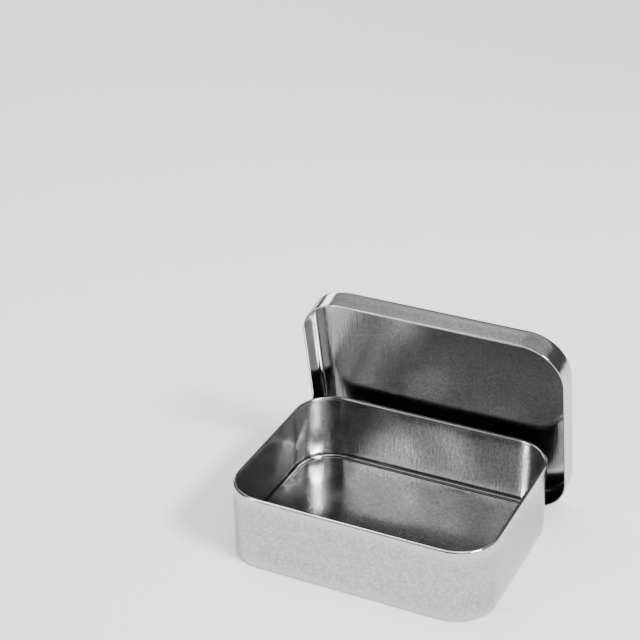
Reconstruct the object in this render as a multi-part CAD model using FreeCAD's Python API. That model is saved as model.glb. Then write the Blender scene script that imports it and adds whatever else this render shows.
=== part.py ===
import FreeCAD
import Part

import math
import os

# A small rectangular slip-lid tin of bare tinplate, standing open with its lid leaning on its back.
# Three bent sheets make it: the wall band, with a rolled rim and a crimped foot, the floor panel
# that the foot grips, and the lid. Sizes are in millimetres, with +X along the long side, +Y to the
# back, where the lid is, and +Z up. The origin is on the surface that the tin stands on, under the
# middle of the tin and lid together.

Vector = FreeCAD.Vector

# The tin.
BODY_WIDTH = 108.0
BODY_DEPTH = 83.0
BODY_HEIGHT = 31.5
CORNER_RADIUS = 16.5
SHEET = 0.28

# The rim, where the wall's edge is rolled inward into a tube.
RIM_ROLL_RADIUS = 0.85

# The foot, where the wall turns in and up round the floor panel's flange and is crimped on it.
CRIMP_GAP = 0.2
FOOT_LEG_TOP = 1.5

# The floor panel: its flat middle, and the bead that stands along the wall.
FLOOR_TOP = 2.2
BEAD_WIDTH = 1.5
BEAD_HEIGHT = 1.1

# The lid, with its edge folded in as a hem that slips over the rim.
LID_HEIGHT = 10.5
LID_TOP_BEND = 1.9
HEM_WIDTH = 0.8
HEM_HEIGHT = 1.6
SLIP_CLEARANCE = 0.15

# How the lid stands: on a long edge behind the wall's foot, shifted along the tin, and leaning
# forward until the inside of its left skirt rests on the rim's rounded back corner.
LID_SHIFT = 3.75
REST_GAP = 0.3

# The flat strip of a panel's edge section, up to the plain plate that fills its middle.
PANEL_LEDGE = 2.0

# What follows from them. An inset is a distance inward from the tin's outer face.
FLANGE_INSET = SHEET + CRIMP_GAP
FLANGE_BOTTOM = SHEET + CRIMP_GAP
FOOT_WIDTH = FLANGE_INSET + SHEET + CRIMP_GAP + SHEET
FOOT_BEND = FOOT_WIDTH / 2
BEAD_INNER_INSET = FLANGE_INSET + BEAD_WIDTH
BEAD_FOOT_BEND = BEAD_HEIGHT - BEAD_WIDTH / 2
HEM_BEND = HEM_WIDTH / 2
LID_MARGIN = HEM_WIDTH + SLIP_CLEARANCE
LID_WIDTH = BODY_WIDTH + 2 * LID_MARGIN
LID_DEPTH = BODY_DEPTH + 2 * LID_MARGIN
LID_CORNER_RADIUS = CORNER_RADIUS + LID_MARGIN
LID_FOOT_Y = BODY_DEPTH / 2 + REST_GAP + HEM_BEND

# A line shorter than this is left out of a section.
SHORTEST_LINE = 0.001


def right_of(edge, parameter):
    """The point one sheet thickness to the right of an edge, in the plane of the section."""
    heading = edge.tangentAt(parameter)
    return edge.valueAt(parameter) + Vector(0, heading.z, -heading.y) * SHEET


def skin_edges(corners):
    """The lines and arcs through corners (inset, height, bend radius); the two ends have no bend."""
    points = [Vector(0, inset, height) for inset, height, bend in corners]
    edges = []
    here = points[0]
    for before, corner, after, (inset, height, bend) in zip(points, points[1:], points[2:], corners[1:]):
        arriving = (corner - before).normalize()
        leaving = (after - corner).normalize()
        reach = bend * math.tan(arriving.getAngle(leaving) / 2)
        start = corner - arriving * reach
        end = corner + leaving * reach
        middle = corner + (leaving - arriving).normalize() * (math.hypot(reach, bend) - bend)
        if start.distanceToPoint(here) > SHORTEST_LINE:
            edges.append(Part.makeLine(here, start))
        edges.append(Part.Arc(start, middle, end).toShape())
        here = end
    if points[-1].distanceToPoint(here) > SHORTEST_LINE:
        edges.append(Part.makeLine(here, points[-1]))
    return edges


def sheet_section(corners):
    """The cross-section of a bent sheet: its skin's line, thickened by the sheet to the line's right."""
    skin = skin_edges(corners)
    backing = []
    for edge in skin:
        start = right_of(edge, edge.FirstParameter)
        end = right_of(edge, edge.LastParameter)
        if edge.Curve.TypeId == "Part::GeomLine":
            backing.append(Part.makeLine(start, end))
        else:
            middle = right_of(edge, (edge.FirstParameter + edge.LastParameter) / 2)
            backing.append(Part.Arc(start, middle, end).toShape())
    first, last = skin[0], skin[-1]
    first_cut = Part.makeLine(first.valueAt(first.FirstParameter), right_of(first, first.FirstParameter))
    last_cut = Part.makeLine(last.valueAt(last.LastParameter), right_of(last, last.LastParameter))
    return Part.Face(Part.Wire(Part.__sortEdges__(skin + [last_cut] + backing + [first_cut])))


def carried_round(section, width, depth, corner_radius):
    """A section carried round a rounded rectangle: a straight run and a turned corner for each side."""
    pieces = []
    for quarter in range(4):
        along, across = (width, depth) if quarter % 2 == 0 else (depth, width)
        half_run = along / 2 - corner_radius
        run_start = section.copy()
        run_start.translate(Vector(-half_run, -across / 2, 0))
        corner_start = section.copy()
        corner_start.translate(Vector(half_run, -across / 2, 0))
        corner_centre = Vector(half_run, corner_radius - across / 2, 0)
        run = run_start.extrude(Vector(2 * half_run, 0, 0))
        corner = corner_start.revolve(corner_centre, Vector(0, 0, 1), 90)
        for piece in (run, corner):
            piece.rotate(Vector(0, 0, 0), Vector(0, 0, 1), 90 * quarter)
            pieces.append(piece)
    return pieces[0].multiFuse(pieces[1:]).removeSplitter()


def middle_plate(width, depth, corner_radius, top):
    """The flat middle of a panel, one sheet thick below the height given."""
    corner = Vector(-width / 2, -depth / 2, top - SHEET)
    plate = Part.makeBox(width, depth, SHEET, corner)
    uprights = [edge for edge in plate.Edges if abs(edge.tangentAt(edge.FirstParameter).z) > 0.5]
    return plate.makeFillet(corner_radius, uprights)


def wall_band():
    """The wall: from the foot's inner leg, round the foot, straight up, and rolled inward at the rim."""
    roll = RIM_ROLL_RADIUS
    section = sheet_section(
        [
            (FOOT_WIDTH, FOOT_LEG_TOP, 0),
            (FOOT_WIDTH, 0, FOOT_BEND),
            (0, 0, FOOT_BEND),
            (0, BODY_HEIGHT, roll),
            (2 * roll, BODY_HEIGHT, roll),
            (2 * roll, BODY_HEIGHT - 2 * roll, roll),
            (roll, BODY_HEIGHT - 2 * roll, 0),
        ]
    )
    return carried_round(section, BODY_WIDTH, BODY_DEPTH, CORNER_RADIUS)


def floor_panel():
    """The floor: the flange in the crimp, the bead that stands along the wall, and the flat middle."""
    bead_top = FLOOR_TOP + BEAD_HEIGHT
    plate_inset = BEAD_INNER_INSET + PANEL_LEDGE
    section = sheet_section(
        [
            (FLANGE_INSET, FLANGE_BOTTOM, 0),
            (FLANGE_INSET, bead_top, BEAD_WIDTH / 2),
            (BEAD_INNER_INSET, bead_top, BEAD_WIDTH / 2),
            (BEAD_INNER_INSET, FLOOR_TOP, BEAD_FOOT_BEND),
            (plate_inset, FLOOR_TOP, 0),
        ]
    )
    edge = carried_round(section, BODY_WIDTH, BODY_DEPTH, CORNER_RADIUS)
    middle = middle_plate(
        BODY_WIDTH - 2 * plate_inset,
        BODY_DEPTH - 2 * plate_inset,
        CORNER_RADIUS - plate_inset,
        FLOOR_TOP,
    )
    return edge.fuse(middle).removeSplitter()


def level_lid():
    """The lid as it sits on a tin: its hemmed edge at height 0, and its flat panel on top."""
    plate_inset = LID_TOP_BEND + PANEL_LEDGE
    section = sheet_section(
        [
            (HEM_WIDTH, HEM_HEIGHT, 0),
            (HEM_WIDTH, 0, HEM_BEND),
            (0, 0, HEM_BEND),
            (0, LID_HEIGHT, LID_TOP_BEND),
            (plate_inset, LID_HEIGHT, 0),
        ]
    )
    edge = carried_round(section, LID_WIDTH, LID_DEPTH, LID_CORNER_RADIUS)
    middle = middle_plate(
        LID_WIDTH - 2 * plate_inset,
        LID_DEPTH - 2 * plate_inset,
        LID_CORNER_RADIUS - plate_inset,
        LID_HEIGHT,
    )
    return edge.fuse(middle).removeSplitter()


def lean_angle():
    """How many degrees the lid leans forward from upright until its left hem meets the rim's corner."""
    hem_x = LID_SHIFT - (LID_WIDTH / 2 - HEM_BEND)
    corner_x = CORNER_RADIUS - BODY_WIDTH / 2
    corner_y = BODY_DEPTH / 2 - CORNER_RADIUS
    reach = CORNER_RADIUS + REST_GAP + HEM_BEND
    meeting_y = corner_y + math.sqrt(reach**2 - (hem_x - corner_x) ** 2)
    meeting_height = BODY_HEIGHT - RIM_ROLL_RADIUS
    return math.degrees(math.atan2(LID_FOOT_Y - meeting_y, meeting_height - HEM_BEND))


def leaning_lid():
    """The lid stood on its long edge behind the tin, its open side to the front, leaning on the rim."""
    lid = level_lid()
    lid.translate(Vector(0, HEM_BEND - LID_DEPTH / 2, -HEM_BEND))
    lid.rotate(Vector(0, 0, 0), Vector(1, 0, 0), lean_angle() - 90)
    lid.translate(Vector(LID_SHIFT, LID_FOOT_Y, HEM_BEND))
    return lid


def main():
    pieces = {"wall_band": wall_band(), "floor_panel": floor_panel(), "lid": leaning_lid()}
    around = Part.makeCompound(list(pieces.values())).optimalBoundingBox()
    to_origin = Vector(-around.Center.x, -around.Center.y, -around.ZMin)
    os.makedirs("parts", exist_ok=True)
    for name, shape in pieces.items():
        shape.translate(to_origin)
        shape.exportStep(f"parts/{name}.step")
        box = shape.optimalBoundingBox()
        print(
            f"{name}: {len(shape.Solids)} solid, valid {shape.isValid()}, {shape.Volume:.0f} mm3, "
            f"X {box.XMin:.2f} to {box.XMax:.2f}, Y {box.YMin:.2f} to {box.YMax:.2f}, "
            f"Z {box.ZMin:.2f} to {box.ZMax:.2f}"
        )
    print(f"the lid leans {lean_angle():.2f} degrees forward")
    gap, closest, _ = pieces["wall_band"].distToShape(pieces["lid"])
    print(f"the lid stands {gap:.3f} mm from the wall band, at {closest[0][0]}")


main()
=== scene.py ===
# %% [markdown]
# # A slip-lid tin of bare sheet
#
# This tin is three pieces of bent tinplate: a wall band, a floor panel and a lid. The lid is off. It
# stands on its long edge behind the open tin and leans forward onto the rim. Bare tinplate has almost
# no colour of its own. What the eye reads is how the bends and the large soft spans mirror the room,
# so most of this lesson is about clean bends, sheet that is not quite flat, and the light.

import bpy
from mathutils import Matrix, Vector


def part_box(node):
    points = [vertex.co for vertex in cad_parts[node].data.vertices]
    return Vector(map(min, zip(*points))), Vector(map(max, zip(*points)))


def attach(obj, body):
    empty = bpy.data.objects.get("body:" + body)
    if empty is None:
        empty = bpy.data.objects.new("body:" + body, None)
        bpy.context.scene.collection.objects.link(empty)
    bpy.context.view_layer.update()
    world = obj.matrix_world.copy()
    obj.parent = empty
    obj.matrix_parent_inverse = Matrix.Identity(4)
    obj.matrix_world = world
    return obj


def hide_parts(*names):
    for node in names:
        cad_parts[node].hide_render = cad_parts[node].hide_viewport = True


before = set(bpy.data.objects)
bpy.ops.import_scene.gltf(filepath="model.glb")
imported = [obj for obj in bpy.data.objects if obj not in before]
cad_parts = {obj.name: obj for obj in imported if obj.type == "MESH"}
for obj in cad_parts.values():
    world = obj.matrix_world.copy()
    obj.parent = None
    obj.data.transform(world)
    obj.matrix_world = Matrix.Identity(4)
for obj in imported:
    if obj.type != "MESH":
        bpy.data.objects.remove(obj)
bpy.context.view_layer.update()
print("nodes:", sorted(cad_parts))

# %% Other modules and the unit
import math

import bmesh
import bpy
import numpy as np
from mathutils import Matrix, Vector

MM = 0.001

# %% [markdown]
# ## Sizes
#
# The frame already holds the tin at its true size, so the large sizes are measured from it: the box of
# the wall band gives the tin's length, depth and height. The small sizes, which no box can tell, are
# written down. The three that the pieces share come here, and the rest come with their own piece.

# %% Measure the tin in the frame
wall_low, wall_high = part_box("wall_band")
tin_width, tin_depth, tin_height = wall_high - wall_low
tin_middle = Vector(((wall_low.x + wall_high.x) / 2, (wall_low.y + wall_high.y) / 2, 0))
print(f"tin {tin_width / MM:.1f} x {tin_depth / MM:.1f} x {tin_height / MM:.1f} mm")

# %% Name the sizes that the pieces share
SHEET = 0.28 * MM
CORNER_RADIUS = 16.5 * MM
CRIMP_GAP = 0.2 * MM

flange_inset = SHEET + CRIMP_GAP
print(f"the floor's flange stands {flange_inset / MM:.2f} mm inside the outer face")

# %% [markdown]
# The lid's lean is measured too. The direction that most of the lid's area faces is square to its
# panel, and the angle of that direction to the level is the lean.

# %% Measure the lid's lean
def panel_lean(mesh):
    """How far the largest flat side leans, from the direction that most of the area faces."""
    normals = np.array([face.normal for face in mesh.polygons])
    areas = np.array([face.area for face in mesh.polygons])
    spread = (normals * areas[:, None]).T @ normals
    main = np.linalg.eigh(spread)[1][:, -1]
    return math.atan2(abs(main[2]), abs(main[1]))


lean = panel_lean(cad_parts["lid"].data)
print(f"lid leans {math.degrees(lean):.2f} degrees")

# %% [markdown]
# ## Small helpers
#
# Node trees come up twice in this lesson: once to shape the sheet, and once to colour it. Adding a
# node, setting it and wiring its inputs takes three or four lines each time, so one helper does all
# of it from a short table of inputs. An input may be given a plain value or another node's output.

# %% Helpers for building node trees
def new_node(tree, kind, inputs=None, **settings):
    """Adds a node, gives its settings, and sets or links the inputs named."""
    node = tree.nodes.new(kind)
    for name, value in settings.items():
        setattr(node, name, value)
    for name, value in (inputs or {}).items():
        if isinstance(value, bpy.types.NodeSocket):
            tree.links.new(value, node.inputs[name])
        else:
            node.inputs[name].default_value = value
    return node


def calculate(tree, operation, *values):
    """The result of one Math node."""
    inputs = dict(enumerate(values))
    return new_node(tree, "ShaderNodeMath", inputs, operation=operation).outputs[0]


def on_vectors(tree, operation, *values, output="Vector"):
    """The result of one Vector Math node."""
    inputs = dict(enumerate(values))
    return new_node(tree, "ShaderNodeVectorMath", inputs, operation=operation).outputs[output]


def new_sockets(tree, direction, **sockets):
    """Gives a node group its named inputs or outputs; underscores in a name become spaces."""
    for name, kind in sockets.items():
        tree.interface.new_socket(
            name.replace("_", " "), in_out=direction, socket_type="NodeSocket" + kind
        )


# %% [markdown]
# ## Rolled grain
#
# Tinplate is steel strip, rolled thin and dipped in tin. The rolls leave fine parallel streaks, a few
# tenths of a millimetre wide and some millimetres long, and only microns deep. They are what turns a
# mirror into satin: each streak tilts the light a little to its side. The tin on top lies in a fine
# mottle of paler and darker specks. Both could be an image laid over the sheet, but noise has no seams
# and stays sharp at any size, and stretched along one direction it makes the streaks. It is a node
# group, because the wall, the floor and the lid each place it their own way.

# %% Group: rolled grain
SPECKS_PER_METRE = 1000.0
DARKEST_SPECK = 0.28
PALEST_SPECK = 0.72


def rolled_grain_group():
    tree = bpy.data.node_groups.new("rolled_grain", "ShaderNodeTree")
    new_sockets(tree, "INPUT", Vector="Vector", Streak_Width="Float", Streak_Length="Float")
    new_sockets(tree, "OUTPUT", Height="Float", Mottle="Float")
    given = new_node(tree, "NodeGroupInput").outputs
    across = calculate(tree, "DIVIDE", 1, given["Streak Width"])
    along = calculate(tree, "DIVIDE", 1, given["Streak Length"])
    density = new_node(tree, "ShaderNodeCombineXYZ", {"X": across, "Y": across, "Z": along})
    stretched = on_vectors(tree, "MULTIPLY", given["Vector"], density.outputs[0])
    streaks = new_node(
        tree, "ShaderNodeTexNoise", {"Vector": stretched, "Scale": 1.0, "Detail": 2.0}
    ).outputs["Fac"]
    specks = new_node(
        tree,
        "ShaderNodeTexNoise",
        {"Vector": given["Vector"], "Scale": SPECKS_PER_METRE, "Detail": 3.0, "Roughness": 0.6},
    ).outputs["Fac"]
    mottle = new_node(
        tree,
        "ShaderNodeMapRange",
        {"Value": specks, "From Min": DARKEST_SPECK, "From Max": PALEST_SPECK},
    ).outputs["Result"]
    new_node(tree, "NodeGroupOutput", {"Height": streaks, "Mottle": mottle})
    return tree


ROLLED_GRAIN = rolled_grain_group()
print("group:", ROLLED_GRAIN.name)

# %% [markdown]
# ## Marks of handling
#
# A tin that has been picked up has faint marks: a breath of finger grease that blurs the shine in
# patches a centimetre or two wide, and hair-thin scratches that run every way. Smudges are a soft
# noise with its middle values pushed apart. Scratches are the borders between stretched Voronoi cells,
# kept only where a second noise allows, so that they come and go as real ones do.

# %% Group: handling marks
SMUDGE_BORDER = (0.38, 0.66)
SCRATCH_TURN = (0.7, 0.5, 0.9)
SCRATCH_STRETCH = (1, 0.12, 0.35)
SCRATCH_EDGE = 0.010
SCRATCH_CORE = 0.003
SCRATCHED_PATCHES_PER_METRE = 150.0


def handling_group():
    tree = bpy.data.node_groups.new("handling_marks", "ShaderNodeTree")
    new_sockets(
        tree,
        "INPUT",
        Vector="Vector",
        Smudge_Size="Float",
        Scratch_Spacing="Float",
        Scratch_Share="Float",
    )
    new_sockets(tree, "OUTPUT", Smudge="Float", Scratch="Float")
    given = new_node(tree, "NodeGroupInput").outputs
    patches = new_node(
        tree,
        "ShaderNodeTexNoise",
        {
            "Vector": given["Vector"],
            "Scale": calculate(tree, "DIVIDE", 1, given["Smudge Size"]),
            "Detail": 4.0,
        },
    ).outputs["Fac"]
    smudge = new_node(
        tree,
        "ShaderNodeMapRange",
        {"Value": patches, "From Min": SMUDGE_BORDER[0], "From Max": SMUDGE_BORDER[1]},
        interpolation_type="SMOOTHSTEP",
    ).outputs["Result"]

    turned = new_node(
        tree,
        "ShaderNodeMapping",
        {"Vector": given["Vector"], "Rotation": SCRATCH_TURN, "Scale": SCRATCH_STRETCH},
    ).outputs[0]
    cells = new_node(
        tree,
        "ShaderNodeTexVoronoi",
        {"Vector": turned, "Scale": calculate(tree, "DIVIDE", 1, given["Scratch Spacing"])},
        feature="DISTANCE_TO_EDGE",
    ).outputs["Distance"]
    line = new_node(
        tree,
        "ShaderNodeMapRange",
        {"Value": cells, "From Min": SCRATCH_EDGE, "From Max": SCRATCH_CORE},
    ).outputs["Result"]
    scratched_patches = new_node(
        tree,
        "ShaderNodeTexNoise",
        {"Vector": given["Vector"], "Scale": SCRATCHED_PATCHES_PER_METRE, "Detail": 1.0},
    ).outputs["Fac"]
    allowed = calculate(tree, "LESS_THAN", scratched_patches, given["Scratch Share"])
    new_node(
        tree,
        "NodeGroupOutput",
        {"Smudge": smudge, "Scratch": calculate(tree, "MULTIPLY", line, allowed)},
    )
    return tree


HANDLING = handling_group()
print("group:", HANDLING.name)

# %% [markdown]
# ## Burnished bends
#
# The tools that roll, crimp and hem the sheet press hard on it, so the metal within a few millimetres
# of a bend is burnished: smoother and a little brighter than the open sheet. That is why the
# highlights of a tin are hottest along its rim and its seams. The meshes carry a value named slack, 0
# at a bend and 1 in open sheet, and this group turns it into a mask with an uneven border. A Bevel
# node could find edges too, but it works only in Cycles and traces rays to do it, while slack is
# already on the mesh.

# %% Group: burnished bends
RUBS_PER_METRE = 160.0


def burnished_bends_group():
    tree = bpy.data.node_groups.new("burnished_bends", "ShaderNodeTree")
    new_sockets(tree, "INPUT", Vector="Vector", Slack="Float", Reach="Float")
    new_sockets(tree, "OUTPUT", Burnish="Float")
    given = new_node(tree, "NodeGroupInput").outputs
    uneven = new_node(
        tree,
        "ShaderNodeTexNoise",
        {"Vector": given["Vector"], "Scale": RUBS_PER_METRE, "Detail": 3.0},
    ).outputs["Fac"]
    # The noise is a half on average, so a half more keeps the border at the reach on average.
    border = calculate(tree, "MULTIPLY", given["Reach"], calculate(tree, "ADD", uneven, 0.5))
    burnish = new_node(
        tree,
        "ShaderNodeMapRange",
        {"Value": given["Slack"], "From Min": border, "From Max": 0.0},
        interpolation_type="SMOOTHSTEP",
    ).outputs["Result"]
    new_node(tree, "NodeGroupOutput", {"Burnish": burnish})
    return tree


BURNISHED_BENDS = burnished_bends_group()
print("group:", BURNISHED_BENDS.name)

# %% [markdown]
# ## Dulled spots
#
# Where something was pressed on the sheet, such as a thumb or the corner of a block in the press, a
# patch is left a little duller than the rest. A dull patch catches the glow of a lamp that the clean
# sheet just misses, and shows as a soft cloud. Each spot has a place, so a noise alone won't do: the
# group measures how far a point is from the spot's middle and lets a noise fray the border.

# %% Group: a dulled spot
FRAYS_PER_METRE = 90.0
FRAY_DEPTH = 1.2


def dulled_spot_group():
    tree = bpy.data.node_groups.new("dulled_spot", "ShaderNodeTree")
    new_sockets(tree, "INPUT", Vector="Vector", Middle="Vector", Reach="Float")
    new_sockets(tree, "OUTPUT", Spot="Float")
    given = new_node(tree, "NodeGroupInput").outputs
    away = on_vectors(tree, "DISTANCE", given["Vector"], given["Middle"], output="Value")
    share = calculate(tree, "DIVIDE", away, given["Reach"])
    fray = new_node(
        tree,
        "ShaderNodeTexNoise",
        {"Vector": given["Vector"], "Scale": FRAYS_PER_METRE, "Detail": 3.0},
    ).outputs["Fac"]
    offset = calculate(tree, "MULTIPLY_ADD", fray, FRAY_DEPTH, -FRAY_DEPTH / 2)
    frayed = calculate(tree, "ADD", share, offset)
    spot = new_node(
        tree,
        "ShaderNodeMapRange",
        {"Value": frayed, "From Min": 1.0, "From Max": 0.0},
        interpolation_type="SMOOTHERSTEP",
    ).outputs["Result"]
    new_node(tree, "NodeGroupOutput", {"Spot": spot})
    return tree


DULLED_SPOT = dulled_spot_group()
print("group:", DULLED_SPOT.name)

# %% [markdown]
# ## Painted shade in the crimp
#
# The crimp between wall and floor leaves two creases, one against the wall and one along the inner
# side of the bead. The two thin dark lines that they show are painted shade: the colour is darkened
# there to stand for the shade in the creases. They could be painted on by hand, but a crease keeps one
# height all round, so the group finds it by that height, and only on surfaces that face the middle of
# the tin.

# %% Group: painted shade in the crimp
def painted_crease_shade_group():
    tree = bpy.data.node_groups.new("painted_shade_in_crimp", "ShaderNodeTree")
    new_sockets(tree, "INPUT", Vector="Vector", Height="Float", Reach="Float")
    new_sockets(tree, "OUTPUT", Grime="Float")
    given = new_node(tree, "NodeGroupInput").outputs
    height = new_node(tree, "ShaderNodeSeparateXYZ", {"Vector": given["Vector"]}).outputs["Z"]
    away = calculate(tree, "ABSOLUTE", calculate(tree, "SUBTRACT", height, given["Height"]))
    near = new_node(
        tree,
        "ShaderNodeMapRange",
        {"Value": away, "From Min": given["Reach"], "From Max": 0.0},
        interpolation_type="SMOOTHSTEP",
    ).outputs["Result"]
    facing = new_node(tree, "ShaderNodeNewGeometry").outputs["Normal"]
    from_middle = on_vectors(tree, "SUBTRACT", given["Vector"], tuple(tin_middle))
    outward = on_vectors(tree, "DOT_PRODUCT", facing, from_middle, output="Value")
    inside = calculate(tree, "LESS_THAN", outward, 0)
    # painted shade: near the crease's height, only on faces turned towards the tin's middle
    new_node(tree, "NodeGroupOutput", {"Grime": calculate(tree, "MULTIPLY", near, inside)})
    return tree


PAINTED_CREASE_SHADE = painted_crease_shade_group()
print("group:", PAINTED_CREASE_SHADE.name)

# %% [markdown]
# ## The tinplate finish
#
# All three pieces are cut from the same sheet, so they share one recipe, but each is turned its own
# way to the rolling direction, and its grain and smudges have their own depth and size. One material
# for all would put the same streaks across every piece, so the recipe is a function that is called
# once for each. It is a bare metal in a mottled grey, paler where it is burnished, with its shine
# blurred by smudges, scratches and dulled spots. First come the values that all three share. The
# roughness is held under a limit, because past about 0.27 Cycles' denoiser draws jagged borders on
# metal.

# %% The greys and the roughness of tin
# Each blur is added to the roughness at its marks, and the burnish shine is taken off at the bends.
BRIGHT_TIN = 0.47
DULL_TIN = 0.27
# the grey that the painted shade darkens the creases to
CREASE_SHADE_GREY = 0.2
BURNISH_BRIGHTNESS = 0.6
SMUDGE_BLUR = 0.04
MOTTLE_BLUR = 0.03
SCRATCH_BLUR = 0.03
BURNISH_SHINE = 0.06
DULLEST = 0.265

# %% The sizes of grain, scratches and creases
STREAK_WIDTH = 0.8 * MM
STREAK_LENGTH = 6 * MM
SCRATCH_SPACING = 14 * MM
SCRATCH_SHARE = 0.44  # scratches come where the second noise is under this
SCRATCH_DEPTH = 0.04  # as a share of the grain's depth
BURNISH_REACH = 0.7  # in slack
# how far the painted shade reaches on each side of a crease's height
CREASE_REACH = 0.55 * MM


# %% Helpers for placing a group and mixing greys
def placed_group(tree, group, **inputs):
    """One of the shared groups in a material, with its own values."""
    node = tree.nodes.new("ShaderNodeGroup")
    node.node_tree = group
    for name, value in inputs.items():
        socket = node.inputs[name.replace("_", " ")]
        if isinstance(value, bpy.types.NodeSocket):
            tree.links.new(value, socket)
        else:
            socket.default_value = value
    return node.outputs


def grey(value):
    """A plain grey as a colour."""
    return (value, value, value, 1)


def mixed(tree, share, first, second):
    """A colour between two others."""
    inputs = {"Factor": share, "A": first, "B": second}
    return new_node(tree, "ShaderNodeMix", inputs, data_type="RGBA").outputs["Result"]


# %% [markdown]
# The colour and the roughness are each a sum of small changes, one for each thing that happened to the
# sheet, and the colour also gets painted shade in the creases of the crimp. A fingermark hardly shows
# in the colour of bare metal, and shows well in its roughness, so most of the changes are made there.

# %% Colour and roughness
def tin_colour(tree, place, grain, burnish, crease):
    """Mottled grey, paler at the bends, with painted shade at the height of the crease."""
    tone = calculate(tree, "MULTIPLY_ADD", burnish["Burnish"], BURNISH_BRIGHTNESS, grain["Mottle"])
    colour = mixed(tree, tone, grey(DULL_TIN), grey(BRIGHT_TIN))
    if crease is None:
        return colour
    # painted shade: the colour darkens to a dark grey at the crease's height, inside the tin
    crease_shade = placed_group(tree, PAINTED_CREASE_SHADE, Vector=place, Height=crease, Reach=CREASE_REACH)
    return mixed(tree, crease_shade["Grime"], colour, grey(CREASE_SHADE_GREY))


def tin_roughness(tree, place, grain, marks, burnish, shine, spots):
    """The clean sheet's roughness, raised by marks and spots and lowered at the bends."""
    changes = [
        (marks["Smudge"], SMUDGE_BLUR),
        (grain["Mottle"], MOTTLE_BLUR),
        (marks["Scratch"], SCRATCH_BLUR),
    ]
    for middle, reach, blur in spots:
        spot = placed_group(tree, DULLED_SPOT, Vector=place, Middle=middle, Reach=reach)
        changes.append((spot["Spot"], blur))
    changes.append((burnish["Burnish"], -BURNISH_SHINE))
    roughness = shine
    for mask, change in changes:
        roughness = calculate(tree, "MULTIPLY_ADD", mask, change, roughness)
    return calculate(tree, "MINIMUM", roughness, DULLEST)


# %% The recipe
def tinplate(name, turn, shine, grain_depth, smudge_size, spots, crease):
    """Bare tinplate: turn lays the rolling direction along Z, shine is the clean sheet's roughness."""
    material = bpy.data.materials.new(name)
    material.use_nodes = True
    tree = material.node_tree
    shader = tree.nodes["Principled BSDF"]
    shader.inputs["Metallic"].default_value = 1
    place = new_node(tree, "ShaderNodeTexCoord").outputs["Object"]
    laid = new_node(tree, "ShaderNodeMapping", {"Vector": place, "Rotation": turn}).outputs[0]
    grain = placed_group(
        tree, ROLLED_GRAIN, Vector=laid, Streak_Width=STREAK_WIDTH, Streak_Length=STREAK_LENGTH
    )
    marks = placed_group(
        tree,
        HANDLING,
        Vector=place,
        Smudge_Size=smudge_size,
        Scratch_Spacing=SCRATCH_SPACING,
        Scratch_Share=SCRATCH_SHARE,
    )
    slack = new_node(tree, "ShaderNodeAttribute", attribute_name="slack").outputs["Fac"]
    burnish = placed_group(tree, BURNISHED_BENDS, Vector=place, Slack=slack, Reach=BURNISH_REACH)

    colour = tin_colour(tree, place, grain, burnish, crease)
    tree.links.new(colour, shader.inputs["Base Color"])
    roughness = tin_roughness(tree, place, grain, marks, burnish, shine, spots)
    tree.links.new(roughness, shader.inputs["Roughness"])
    height = calculate(tree, "MULTIPLY_ADD", marks["Scratch"], -SCRATCH_DEPTH, grain["Height"])
    bump = new_node(
        tree, "ShaderNodeBump", {"Height": height, "Distance": grain_depth, "Strength": 1.0}
    )
    tree.links.new(bump.outputs["Normal"], shader.inputs["Normal"])
    return material


# %% [markdown]
# The dulled spots have places, so each is written down. On the wall they lie over the open middle of
# the back, at its foot, round the back left corner and on the left side. On the floor a wide faint one
# lies in the middle with a stronger one on each side of it, and two small ones lie by the left wall.
# The lid has none.

# %% Place the dulled spots
def spots_at(*spots):
    """Spots given in millimetres, as (x, y, z, reach, added roughness)."""
    return [(Vector(place) * MM, reach * MM, blur) for *place, reach, blur in spots]


wall_spots = spots_at(
    (13, 36, 20, 20, 0.12),
    (22, 36, 12, 9, 0.06),
    (6, 36, 24, 9, 0.05),
    (-22, 36, 4, 8, 0.10),
    (-50, 31, 24, 13, 0.12),
    (-54, 8, 12, 13, 0.12),
)
floor_spots = spots_at(
    (-23, 9, 2, 15, 0.16),
    (20, 21, 2, 17, 0.12),
    (4, 14, 2, 22, 0.04),
    (-46, 22, 2, 9, 0.12),
    (-50, 6, 2, 9, 0.12),
)
print(len(wall_spots), "dulled spots on the wall,", len(floor_spots), "on the floor")

# %% Mix the three finishes
# the heights of the creases that get painted shade, on the wall and on the floor
WALL_CREASE = 3.4 * MM
BEAD_CREASE = 2.6 * MM
wall_plate = tinplate(
    "tinplate_wall",
    turn=(0, 0, 0),
    shine=0.14,
    grain_depth=0.045 * MM,
    smudge_size=16 * MM,
    spots=wall_spots,
    crease=WALL_CREASE,
)
floor_plate = tinplate(
    "tinplate_floor",
    turn=(math.pi / 2, 0, 0),
    shine=0.135,
    grain_depth=0.024 * MM,
    smudge_size=20 * MM,
    spots=floor_spots,
    crease=BEAD_CREASE,
)
lid_plate = tinplate(
    "tinplate_lid",
    turn=(-lean, 0, 0),
    shine=0.15,
    grain_depth=0.036 * MM,
    smudge_size=24 * MM,
    spots=[],
    crease=None,
)
print("finishes:", wall_plate.name, floor_plate.name, lid_plate.name)

# %% [markdown]
# ## A bend line
#
# Sheet metal is drawn by its cross-section: straight stretches joined by bends of a given radius. The
# section could be drawn by hand as a curve, but a list of corners, each with its bend radius, is how a
# tinsmith would note it, and a short function turns that into points. Each point also gets a slack
# value, 0 at a bend and rising towards 1 in the middle of a long span, because sheet is stiff at its
# bends and wanders a little where it is wide.

# %% Points along one bend
BEND_STEPS = 8
LONGEST_STEP = 1.2 * MM
SLACK_REACH = 8 * MM
TOUCHING = 1e-3 * MM


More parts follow.
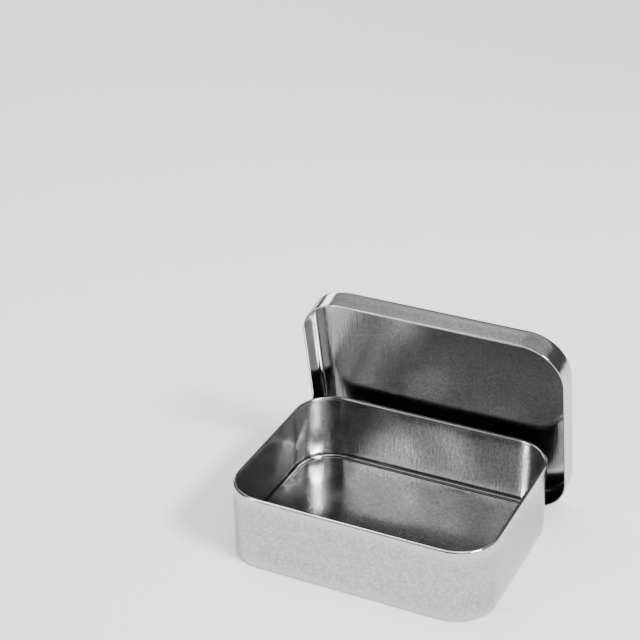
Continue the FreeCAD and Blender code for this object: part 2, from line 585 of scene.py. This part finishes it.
def bend_centre(before, corner, after, radius):
    """Where a bend starts, its centre, and its signed turn."""
    arriving = (corner - before) / np.linalg.norm(corner - before)
    leaving = (after - corner) / np.linalg.norm(after - corner)
    turn = math.acos(np.clip(arriving @ leaving, -1, 1))
    reach = radius * math.tan(turn / 2)
    to_side = (leaving - arriving) / np.linalg.norm(leaving - arriving)
    side = np.sign(arriving[0] * leaving[1] - arriving[1] * leaving[0])
    return corner - arriving * reach, corner + to_side * math.hypot(reach, radius), side * turn


def bend_points(start, centre, turn):
    """The points round a bend, its start among them."""
    spoke = start - centre
    angles = turn * np.arange(BEND_STEPS + 1) / BEND_STEPS
    cos, sin = np.cos(angles), np.sin(angles)
    round_x = cos * spoke[0] - sin * spoke[1]
    round_y = sin * spoke[0] + cos * spoke[1]
    return [centre + np.array(step) for step in zip(round_x, round_y)]


# %% Points along a whole section
def straight_run(start, end):
    """Points strictly between two others, with their slack."""
    run = np.linalg.norm(end - start)
    pieces = math.ceil(run / LONGEST_STEP)
    shares = [step / pieces for step in range(1, pieces)]
    slack = [min(share * run, (1 - share) * run, SLACK_REACH) / SLACK_REACH for share in shares]
    return [start + (end - start) * share for share in shares], slack


def bend_line(corners):
    """Points (inset, height) along a bent line, with the slack of each."""
    places = [np.array(corner[:2]) for corner in corners]
    points = [places[0]]
    slack = [0]
    for index in range(1, len(places) - 1):
        start, centre, turn = bend_centre(*places[index - 1 : index + 2], corners[index][2])
        bend = bend_points(start, centre, turn)
        if np.linalg.norm(start - points[-1]) > TOUCHING:
            run, run_slack = straight_run(points[-1], start)
            points += run
            slack += run_slack
        else:
            bend = bend[1:]
        points += bend
        slack += [0] * len(bend)
    if np.linalg.norm(places[-1] - points[-1]) > TOUCHING:
        run, run_slack = straight_run(points[-1], places[-1])
        points += run + [places[-1]]
        slack += run_slack + [0]
    return points, slack


# %% [markdown]
# ## Carrying a section round the tin
#
# Wall, floor and lid are all one section carried round a rounded rectangle. Curve to Mesh could sweep
# it, but a panel also has to close over the middle with even rows of faces, or its reflections would
# crumple. So this tree starts from a plain grid. Its columns go round the outline, its rows follow the
# section, and Set Position puts each point where the outline and the section say. The rows of a panel
# close in on a short ridge line in the middle, as the rows of a hipped roof do.
#
# The tree is built a part at a time. The first part makes the rounded outline and the grid, and works
# out for each grid point which column and which row it is in.

# %% Tree, part 1: the outline and the grid
CORNER_STEPS = 64


def outline_and_grid(tree, given):
    outline = new_node(
        tree,
        "GeometryNodeCurvePrimitiveQuadrilateral",
        {"Width": given["Width"], "Height": given["Depth"]},
    )
    rounded = new_node(
        tree,
        "GeometryNodeFilletCurve",
        {"Curve": outline.outputs[0], "Radius": given["Corner Radius"], "Count": CORNER_STEPS},
        mode="POLY",
    ).outputs["Curve"]
    rows = new_node(
        tree, "GeometryNodeAttributeDomainSize", {"Geometry": given["Geometry"]}
    ).outputs["Point Count"]
    columns = calculate(tree, "ADD", given["Steps Around"], 1)
    grid = new_node(
        tree, "GeometryNodeMeshGrid", {"Vertices X": columns, "Vertices Y": rows}
    ).outputs["Mesh"]
    index = new_node(tree, "GeometryNodeInputIndex").outputs[0]
    column = calculate(tree, "FLOOR", calculate(tree, "DIVIDE", index, rows))
    row = calculate(tree, "SUBTRACT", index, calculate(tree, "MULTIPLY", column, rows))
    around = calculate(tree, "DIVIDE", column, given["Steps Around"])
    return rounded, grid, row, around


# %% [markdown]
# The second part finds, for each column, its place on the outline and which way is inward there. Then
# it reads the section's inset and height for the row, and steps inward by the inset.

# %% Tree, part 2: the place of each point
def from_section(tree, given, value, row, kind):
    """A value of the section's own point for this row."""
    return new_node(
        tree,
        "GeometryNodeSampleIndex",
        {"Geometry": given["Geometry"], "Value": value, "Index": row},
        data_type=kind,
        domain="POINT",
    ).outputs["Value"]


def scaled(tree, vector, amount):
    """A vector times a number."""
    node = new_node(tree, "ShaderNodeVectorMath", {0: vector, "Scale": amount}, operation="SCALE")
    return node.outputs["Vector"]


def place_on_ring(tree, rounded, around, inset):
    """The outline's point for this column, moved inward by the inset."""
    on_outline = new_node(
        tree,
        "GeometryNodeSampleCurve",
        {"Curves": rounded, "Factor": around},
        mode="FACTOR",
        use_all_curves=True,
    ).outputs
    place = on_outline["Position"]
    sideways = on_vectors(tree, "CROSS_PRODUCT", (0, 0, 1), on_outline["Tangent"])
    facing = calculate(
        tree, "SIGN", on_vectors(tree, "DOT_PRODUCT", sideways, place, output="Value")
    )
    inward = scaled(tree, sideways, calculate(tree, "MULTIPLY", facing, -1))
    return on_vectors(tree, "ADD", place, scaled(tree, inward, inset))


# %% [markdown]
# The third part closes a panel's rows. Each section point says how far it is on its way to the ridge,
# from 0 on the outline to 1 on the ridge, and the point slides that share of the way there.

# %% Tree, part 3: closing the panel
def close_to_ridge(tree, given, on_ring, closing, height):
    """Slides a ring point towards the ridge and lifts it to its height."""
    ring_x = new_node(tree, "ShaderNodeSeparateXYZ", {"Vector": on_ring}).outputs["X"]
    ridge_reach = calculate(
        tree, "DIVIDE", calculate(tree, "SUBTRACT", given["Width"], given["Depth"]), 2
    )
    other_end = calculate(tree, "MULTIPLY", ridge_reach, -1)
    ridge_x = new_node(
        tree, "ShaderNodeClamp", {"Value": ring_x, "Min": other_end, "Max": ridge_reach}
    ).outputs[0]
    on_ridge = new_node(tree, "ShaderNodeCombineXYZ", {"X": ridge_x}).outputs[0]
    to_ridge = on_vectors(tree, "SUBTRACT", on_ridge, on_ring)
    flat = on_vectors(tree, "ADD", on_ring, scaled(tree, to_ridge, closing))
    raised = new_node(tree, "ShaderNodeCombineXYZ", {"Z": height}).outputs[0]
    return on_vectors(tree, "ADD", flat, raised)


# %% [markdown]
# The fourth part stores the slack of each point on the mesh, where the bowing and the burnished bends
# read it later. Then the doubled points, where the last column meets the first and on the ridge, are
# merged.

# %% Tree, part 4: what the mesh carries
def keep_slack(tree, given, placed, row):
    """Stores the section's slack on the placed points, and merges the doubled ones."""
    slack_there = new_node(
        tree, "GeometryNodeInputNamedAttribute", {"Name": "slack"}, data_type="FLOAT"
    ).outputs["Attribute"]
    slack = from_section(tree, given, slack_there, row, "FLOAT")
    with_slack = new_node(
        tree,
        "GeometryNodeStoreNamedAttribute",
        {"Geometry": placed, "Name": "slack", "Value": slack},
        data_type="FLOAT",
        domain="POINT",
    ).outputs[0]
    return new_node(
        tree, "GeometryNodeMergeByDistance", {"Geometry": with_slack, "Distance": 2 * TOUCHING}
    ).outputs[0]


# %% [markdown]
# The last part makes the sheet a little uneven. Rolled sheet is never a true plane: its open spans
# waver by hundredths of a millimetre, which no one sees in the shape and everyone sees in the
# reflections. A soft noise pushes each point inward, by most in open sheet and not at all at a bend.
# The sheet is fully free once its slack has come up to the stiff share.

# %% Tree, part 5: the ripple of thin sheet
STIFF_SHARE = 0.5


def ripple_in(tree, given, sheet):
    ripple = new_node(
        tree,
        "ShaderNodeTexNoise",
        {
            "Vector": new_node(tree, "GeometryNodeInputPosition").outputs[0],
            "W": given["Ripple Seed"],
            "Scale": calculate(tree, "DIVIDE", 1, given["Ripple Size"]),
            "Detail": 1.0,
        },
        noise_dimensions="4D",
    ).outputs[0]
    slack = new_node(
        tree, "GeometryNodeInputNamedAttribute", {"Name": "slack"}, data_type="FLOAT"
    ).outputs["Attribute"]
    freed = calculate(tree, "MINIMUM", calculate(tree, "DIVIDE", slack, STIFF_SHARE), 1)
    depth = calculate(tree, "MULTIPLY", freed, given["Ripple Depth"])
    inward = calculate(tree, "MULTIPLY", calculate(tree, "MULTIPLY", depth, ripple), -1)
    normal = new_node(tree, "GeometryNodeInputNormal").outputs[0]
    return new_node(
        tree, "GeometryNodeSetPosition", {"Geometry": sheet, "Offset": scaled(tree, normal, inward)}
    ).outputs[0]


# %% The whole tree
def sheet_tree():
    """Carries the section held by the object's own points round a rounded rectangle."""
    tree = bpy.data.node_groups.new("sheet_carried_round", "GeometryNodeTree")
    new_sockets(
        tree,
        "INPUT",
        Geometry="Geometry",
        Width="Float",
        Depth="Float",
        Corner_Radius="Float",
        Steps_Around="Int",
        Ripple_Depth="Float",
        Ripple_Size="Float",
        Ripple_Seed="Float",
        Material="Material",
    )
    new_sockets(tree, "OUTPUT", Geometry="Geometry")
    given = new_node(tree, "NodeGroupInput").outputs
    rounded, grid, row, around = outline_and_grid(tree, given)
    section_place = new_node(tree, "GeometryNodeInputPosition").outputs[0]
    section_point = from_section(tree, given, section_place, row, "FLOAT_VECTOR")
    inset, height, closing = new_node(
        tree, "ShaderNodeSeparateXYZ", {"Vector": section_point}
    ).outputs
    on_ring = place_on_ring(tree, rounded, around, inset)
    position = close_to_ridge(tree, given, on_ring, closing, height)
    placed = new_node(
        tree, "GeometryNodeSetPosition", {"Geometry": grid, "Position": position}
    ).outputs[0]
    sheet = keep_slack(tree, given, placed, row)
    rippled = ripple_in(tree, given, sheet)
    smooth = new_node(tree, "GeometryNodeSetShadeSmooth", {"Geometry": rippled}).outputs[0]
    real = new_node(tree, "GeometryNodeRealizeInstances", {"Geometry": smooth}).outputs[0]
    coated = new_node(
        tree, "GeometryNodeSetMaterial", {"Geometry": real, "Material": given["Material"]}
    ).outputs[0]
    new_node(tree, "NodeGroupOutput", {"Geometry": coated})
    return tree


SHEET_TREE = sheet_tree()
print("sheet tree:", len(SHEET_TREE.nodes), "nodes")

# %% [markdown]
# ## From a section to a piece
#
# The tree runs as a modifier on a small mesh that is nothing but the section's points. Its result is
# taken off as a plain mesh, so that nothing is left to change later. The faces are then turned to
# point away from the sheet, and Solidify gives the skin its thickness on the inner side, which leaves
# the outer sizes as they are.

# %% Take a result off as a plain mesh
def plain_mesh(thing, name):
    """The evaluated object as a plain mesh object at the origin; the first object is removed."""
    graph = bpy.context.evaluated_depsgraph_get()
    mesh = bpy.data.meshes.new_from_object(thing.evaluated_get(graph))
    bpy.data.objects.remove(thing)
    piece = bpy.data.objects.new(name, mesh)
    mesh.name = name
    bpy.context.scene.collection.objects.link(piece)
    return piece


def turn_outward(skin):
    """Points the skin's faces away from the sheet, judged at the face furthest out."""
    mesh = bmesh.new()
    mesh.from_mesh(skin.data)
    bmesh.ops.recalc_face_normals(mesh, faces=mesh.faces)
    outermost = max(mesh.faces, key=lambda face: face.calc_center_median().x)
    if outermost.normal.x < 0:
        bmesh.ops.reverse_faces(mesh, faces=mesh.faces)
    mesh.to_mesh(skin.data)
    mesh.free()


# %% The section as a small mesh
def section_object(name, corners, panel_rows, depth):
    """The section's points, (inset, height, share of the way to the ridge), with their slack."""
    points, slack = bend_line(corners)
    rows = [(inset, height, 0) for inset, height in points]
    last_inset, last_height = points[-1]
    for row in range(1, panel_rows + 1):
        share = row / panel_rows
        rows.append((last_inset, last_height, share))
        slack.append(min(share * (depth / 2 - last_inset) / SLACK_REACH, 1))
    section = bpy.data.meshes.new(name + "_section")
    section.from_pydata(rows, [(row, row + 1) for row in range(len(rows) - 1)], [])
    section.attributes.new("slack", "FLOAT", "POINT").data.foreach_set("value", slack)
    thing = bpy.data.objects.new(name + "_section", section)
    bpy.context.scene.collection.objects.link(thing)
    return thing


# %% [markdown]
# ## Bows in the sheet
#
# Besides the fine ripple, each wide span has a few broader bows, where the sheet was pressed, crimped
# or picked up: some a finger wide, a few tenths of a millimetre high. They gather and spread the light
# into the soft clouds that bare tin shows. They could come from noise too, but a bow is a thing with a
# place, so each one is written as its middle, its reach and its height, and the skin is moved along
# its own normals before it gets its thickness.

# %% Bow the skin
def bow(skin, bows):
    """Moves a skin along its normals; each bow is (middle, reach, height), all in metres."""
    mesh = skin.data
    count = len(mesh.vertices)
    places = np.empty(count * 3)
    normals = np.empty(count * 3)
    slack = np.empty(count)
    mesh.vertices.foreach_get("co", places)
    mesh.vertices.foreach_get("normal", normals)
    mesh.attributes["slack"].data.foreach_get("value", slack)
    places = places.reshape(-1, 3)
    freed = np.minimum(slack / STIFF_SHARE, 1)
    ease = freed * freed * (3 - 2 * freed)
    push = np.zeros(count)
    for middle, reach, height in bows:
        distance = np.linalg.norm(places - np.array(middle), axis=1)
        push += height * np.exp(-((distance / reach) ** 2))
    places += normals.reshape(-1, 3) * (push * ease)[:, None]
    mesh.vertices.foreach_set("co", places.ravel())
    mesh.update()
    return abs(push * ease).max()


def bows_at(*bows):
    """Bows given in millimetres, as (x, y, z, reach, height)."""
    return [(Vector(place) * MM, reach * MM, height * MM) for *place, reach, height in bows]


# %% Make a piece of sheet
STEPS_AROUND = 420
SHARP_EDGE = math.radians(50)


def sheet_piece(name, corners, panel_rows, outer, ripple, bows, material):
    """The section carried round, its middle closed, bowed, then given its thickness.

    Corners are (inset, height, bend radius), outer is (width, depth, corner radius) and ripple is
    (depth, size, seed).
    """
    thing = section_object(name, corners, panel_rows, outer[1])
    modifier = thing.modifiers.new("carry", "NODES")
    modifier.node_group = SHEET_TREE
    names = ("Width", "Depth", "Corner Radius", "Ripple Depth", "Ripple Size", "Ripple Seed")
    values = dict(zip(names, (*outer, *ripple)))
    values.update({"Steps Around": STEPS_AROUND, "Material": material})
    for item in SHEET_TREE.interface.items_tree:
        if item.in_out == "INPUT" and item.name in values:
            modifier[item.identifier] = values[item.name]
    skin = plain_mesh(thing, name + "_skin")
    turn_outward(skin)
    most = bow(skin, bows)
    thicken = skin.modifiers.new("sheet", "SOLIDIFY")
    thicken.thickness = SHEET
    thicken.offset = -1
    piece = plain_mesh(skin, name)
    piece.data.set_sharp_from_angle(angle=SHARP_EDGE)
    print(f"{name}: {len(piece.data.polygons)} faces, bowed by up to {most / MM:.2f} mm")
    return piece


# %% [markdown]
# ## The wall band
#
# One strip, bent into a rounded rectangle. Its top edge is rolled over inward into a smooth rim that
# can't cut a finger, and its foot turns in and up to hold the floor panel. The section starts at the
# inner leg of the foot, goes down and round it, up the outside, and over the roll at the rim.

# %% Make the wall band
RIM_ROLL_RADIUS = 0.85 * MM
FOOT_LEG_TOP = 1.5 * MM

roll = RIM_ROLL_RADIUS
foot_width = flange_inset + SHEET + CRIMP_GAP + SHEET
foot_bend = foot_width / 2
wall = sheet_piece(
    "wall",
    corners=[
        (foot_width, FOOT_LEG_TOP, 0),
        (foot_width, 0, foot_bend),
        (0, 0, foot_bend),
        (0, tin_height, roll),
        (2 * roll, tin_height, roll),
        (2 * roll, tin_height - 2 * roll, roll),
        (roll, tin_height - 2 * roll, 0),
    ],
    panel_rows=0,
    outer=(tin_width, tin_depth, CORNER_RADIUS),
    ripple=(0.08 * MM, 24 * MM, 1.0),
    bows=bows_at(
        (-49.7, 36.2, 8.5, 4.6, -0.55),
        (14, 41.5, 24, 10, -0.35),
        (-4, 41.5, 14, 9, -0.25),
    ),
    material=wall_plate,
)

# %% [markdown]
# ## The floor panel
#
# A flat panel with a flange that goes down into the foot of the wall, where the two are crimped
# together. Just inside the wall the panel is pressed up into a narrow bead, which stiffens it and
# shows as the fine double line round the floor of the tin. The section ends on a short flat strip,
# the floor's edge, and from there the rows close over the middle.

# %% Make the floor panel
PANEL_ROWS = 36
FLOOR_TOP = 2.2 * MM
BEAD_WIDTH = 1.5 * MM
BEAD_HEIGHT = 1.1 * MM
FLOOR_EDGE = 1 * MM

bead_inner = flange_inset + BEAD_WIDTH
bead_top = FLOOR_TOP + BEAD_HEIGHT
floor = sheet_piece(
    "floor",
    corners=[
        (flange_inset, flange_inset, 0),
        (flange_inset, bead_top, BEAD_WIDTH / 2),
        (bead_inner, bead_top, BEAD_WIDTH / 2),
        (bead_inner, FLOOR_TOP, BEAD_HEIGHT - BEAD_WIDTH / 2),
        (bead_inner + FLOOR_EDGE, FLOOR_TOP, 0),
    ],
    panel_rows=PANEL_ROWS,
    outer=(tin_width, tin_depth, CORNER_RADIUS),
    ripple=(0.10 * MM, 26 * MM, 2.0),
    bows=bows_at(
        (-40, 19, 2, 24, -0.1),
        (-26, 15, 2, 11, 0.20),
        (15, 30, 2, 10, 0.30),
        (20, -6, 2, 16, -0.30),
    ),
    material=floor_plate,
)

# %% [markdown]
# ## The lid
#
# The lid is drawn from one sheet: a flat panel and a shallow skirt with a soft bend between them. The
# skirt's open edge is folded back inside as a hem, so the edge that shows is round and bright. The lid
# could be drawn leaning as it stands, but it is simpler to make it lying flat on its open edge, like a
# lid on a table, and to stand it up afterwards.

# %% Make the lid
LID_HEIGHT = 10.5 * MM
LID_TOP_BEND = 1.9 * MM
LID_EDGE = 2 * MM
HEM_WIDTH = 0.8 * MM
HEM_HEIGHT = 1.6 * MM
SLIP_CLEARANCE = 0.15 * MM

lid_margin = HEM_WIDTH + SLIP_CLEARANCE
lid = sheet_piece(
    "lid_shell",
    corners=[
        (HEM_WIDTH, HEM_HEIGHT, 0),
        (HEM_WIDTH, 0, HEM_WIDTH / 2),
        (0, 0, HEM_WIDTH / 2),
        (0, LID_HEIGHT, LID_TOP_BEND),
        (LID_TOP_BEND + LID_EDGE, LID_HEIGHT, 0),
    ],
    panel_rows=PANEL_ROWS,
    outer=(tin_width + 2 * lid_margin, tin_depth + 2 * lid_margin, CORNER_RADIUS + lid_margin),
    ripple=(0.10 * MM, 34 * MM, 3.0),
    bows=[],
    material=lid_plate,
)

# %% [markdown]
# ## Standing the pieces in their places
#
# The wall and the floor only move sideways to the tin's middle. The lid is tipped up by the lean that
# was measured and then moved so that its box matches the frame's. All of this is done to the mesh, not
# to the object, so that every object stays at the origin, where a pattern on Object coordinates can't
# slide.

# %% Stand them up
def mesh_box(mesh):
    """The lowest and highest corners of a mesh."""
    corners = np.empty(len(mesh.vertices) * 3)
    mesh.vertices.foreach_get("co", corners)
    corners = corners.reshape(-1, 3)
    return Vector(corners.min(0)), Vector(corners.max(0))


for piece in (wall, floor):
    piece.data.transform(Matrix.Translation(tin_middle))
lid.data.transform(Matrix.Rotation(lean - math.pi / 2, 4, "X"))
lid_low, lid_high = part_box("lid")
low, high = mesh_box(lid.data)
lid.data.transform(Matrix.Translation((lid_low + lid_high - low - high) / 2))

# %% Put each piece in its part's place: compare the boxes, attach it to the root, hide the part
for piece, node in ((wall, "wall_band"), (floor, "floor_panel"), (lid, "lid")):
    low, high = mesh_box(piece.data)
    cad_low, cad_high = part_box(node)
    apart = [abs(a - b) / MM for a, b in zip((*low, *high), (*cad_low, *cad_high))]
    print(f"{piece.name}: box within {max(apart):.3f} mm of {node}")
    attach(piece, "root")
    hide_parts(node)

# %% [markdown]
# ## The floor under the tin
#
# A plain pale sheet, large enough that its edge never shows. It could curve up behind the tin, as a
# studio backdrop does, but the view looks down steeply enough that a flat one fills it. It matters more
# than it seems: bare metal mirrors what it stands on, so the outside of the wall takes its light grey
# from this floor.

# %% Lay the pale floor
STAGE_SIZE = 8
PAPER_GREY = 0.9
PAPER_ROUGHNESS = 0.9

bpy.ops.mesh.primitive_plane_add(size=STAGE_SIZE)
stage = bpy.context.object
stage.name = "stage_floor"
pale = bpy.data.materials.new("pale_floor")
pale.use_nodes = True
paint = pale.node_tree.nodes["Principled BSDF"]
paint.inputs["Base Color"].default_value = grey(PAPER_GREY)
paint.inputs["Roughness"].default_value = PAPER_ROUGHNESS
stage.data.materials.append(pale)
print("stage:", stage.name)

# %% [markdown]
# ## The camera
#
# The tin is seen from the front right, from well above the rim, so that the floor inside shows. A long
# lens from some way off keeps the two long edges nearly parallel, as in a catalogue view. The camera
# could be aimed by a Track To constraint, but a place, a turn, a dip and a roll are plain values that
# can be corrected one at a time.

# %% Set up the camera
CAMERA_PLACE = Vector((222.87, -530.37, 409.21)) * MM
CAMERA_TURN = math.radians(25.906)
CAMERA_DIP = math.radians(28.649)
CAMERA_ROLL = math.radians(0.656)
LENS = 99.08
SENSOR_WIDTH = 36

camera_data = bpy.data.cameras.new("camera")
camera_data.lens = LENS
camera_data.sensor_width = SENSOR_WIDTH
camera = bpy.data.objects.new("camera", camera_data)
bpy.context.scene.collection.objects.link(camera)
camera.matrix_world = (
    Matrix.Translation(CAMERA_PLACE)
    @ Matrix.Rotation(CAMERA_TURN, 4, "Z")
    @ Matrix.Rotation(math.pi / 2 - CAMERA_DIP, 4, "X")
    @ Matrix.Rotation(-CAMERA_ROLL, 4, "Z")
)
bpy.context.scene.camera = camera
print("camera to tin:", round(CAMERA_PLACE.length, 3), "m")

# %% [markdown]
# ## Soft studio light
#
# Metal is lit by what it mirrors, so each soft panel is placed by the direction that the sheet reflects
# it from: a bearing round the tin, clockwise from the back as seen from above, and a height angle. Its
# brightness is that of its face, whatever its size, and the power follows from both. The image of a
# whole room could light the tin as well, but panels can be moved one at a time.

# %% A soft panel
LIGHT_DISTANCE = 1.2
LIGHT_AIM = Vector((0, 0, 0.03))


def soft_panel(name, bearing, height_angle, width, height, brightness):
    """A soft panel at a bearing and height angle in degrees, sized in metres, facing the tin."""
    turn, rise = math.radians(bearing), math.radians(height_angle)
    flat = math.cos(rise)
    direction = Vector((math.sin(turn) * flat, math.cos(turn) * flat, math.sin(rise)))
    data = bpy.data.lights.new(name, "AREA")
    data.shape = "RECTANGLE"
    data.size = width
    data.size_y = height
    data.energy = brightness * math.pi * width * height
    panel = bpy.data.objects.new(name, data)
    bpy.context.scene.collection.objects.link(panel)
    panel.location = LIGHT_AIM + direction * LIGHT_DISTANCE
    panel.rotation_euler = (-direction).to_track_quat("-Z", "Y").to_euler()
    print(f"{name}: {data.energy:.2f} W")


# %% [markdown]
# The right lamp is the strong one. It gives the pale floor nearly half its light, and the back left
# corner of the tin gathers it into the one hot highlight, at the seam. The left edge and the left panel
# lay soft clouds over the floor and the back wall. Front right and left soft are for the inside of the
# lid, and the ones at the back add to its skirt. Overhead and high left add to the pale floor. Each row
# is a name, a bearing, a height angle, a width, a height and a brightness.

# %% Hang the soft panels
for panel in (
    ("right_lamp", 104, 44, 0.34, 0.20, 120.0),
    ("high_right", 120, 66, 0.40, 0.40, 3.0),
    ("overhead", 0, 88, 0.60, 0.60, 5.5),
    ("high_left", 280, 66, 0.35, 0.35, 13.0),
    ("high_back", 320, 62, 0.40, 0.40, 0.8),
    ("right_low", 108, 35, 1.60, 0.30, 1.0),
    ("front_right", 142, 50, 0.50, 0.30, 3.2),
    ("left_panel", 220, 33, 0.20, 0.24, 30.0),
    ("left_edge", 206, 35, 0.34, 0.28, 2.3),
    ("left_soft", 205, 48, 0.40, 0.30, 0.35),
    ("left_low", 225, 16, 0.45, 0.24, 11.0),
    ("back_panel", 0, 52, 2.20, 0.30, 0.5),
    ("back_low", 320, 20, 0.60, 0.30, 7.0),
):
    soft_panel(*panel)

# %% A dim, even room
ROOM_LIGHT = 0.13

world = bpy.data.worlds.new("room")
world.use_nodes = True
world.node_tree.nodes["Background"].inputs["Color"].default_value = grey(1)
world.node_tree.nodes["Background"].inputs["Strength"].default_value = ROOM_LIGHT
bpy.context.scene.world = world
print("room light: even, dim")
